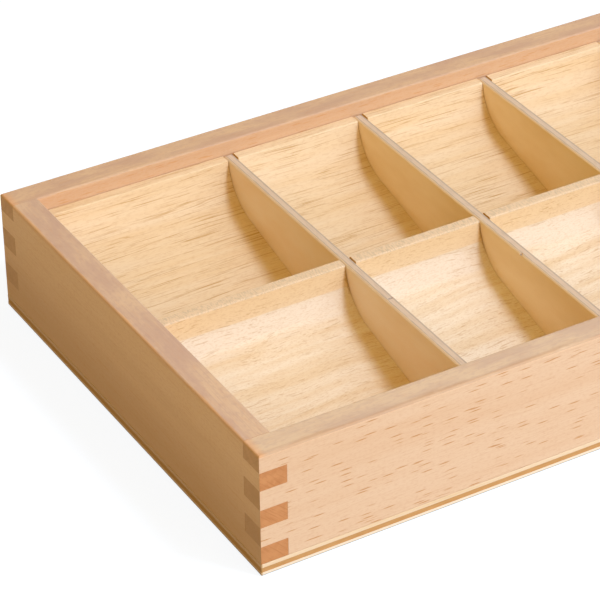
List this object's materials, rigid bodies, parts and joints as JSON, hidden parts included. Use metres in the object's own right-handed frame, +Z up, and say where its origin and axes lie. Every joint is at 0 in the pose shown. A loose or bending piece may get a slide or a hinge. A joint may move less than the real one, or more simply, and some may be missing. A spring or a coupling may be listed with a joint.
{
  "type": "grammar symbol sorting box",
  "caption": "Shallow open wooden sorting box: finger-jointed beech frame on a plywood base, thin cross dividers and coved sloping floors that let paper symbols slide up to the fingers.",
  "frame": {"origin": "middle of the underside of the base panel", "axes": "+X along the length, away from the wide column; +Y from the front board to the back board; +Z up"},
  "size_m": [0.282, 0.165, 0.0424],
  "materials": {
    "beech": "clear satin lacquer on planed beech",
    "base_plywood": "clear satin lacquer on three-ply plywood",
    "divider_plywood": "clear satin lacquer on thin plywood",
    "floor_wood": "clear satin lacquer on pale open-pored wood"
  },
  "bodies": {
    "root": {"front_board": "beech", "back_board": "beech", "left_end_board": "beech", "right_end_board": "beech", "base_panel": "base_plywood", "cross_divider_1": "divider_plywood", "cross_divider_2": "divider_plywood", "cross_divider_3": "divider_plywood", "cross_divider_4": "divider_plywood", "front_floor_1": "floor_wood", "back_floor_1": "floor_wood", "front_floor_2": "floor_wood", "back_floor_2": "floor_wood", "front_floor_3": "floor_wood", "back_floor_3": "floor_wood", "front_floor_4": "floor_wood", "back_floor_4": "floor_wood", "front_floor_5": "floor_wood", "back_floor_5": "floor_wood"}
  },
  "joints": []
}
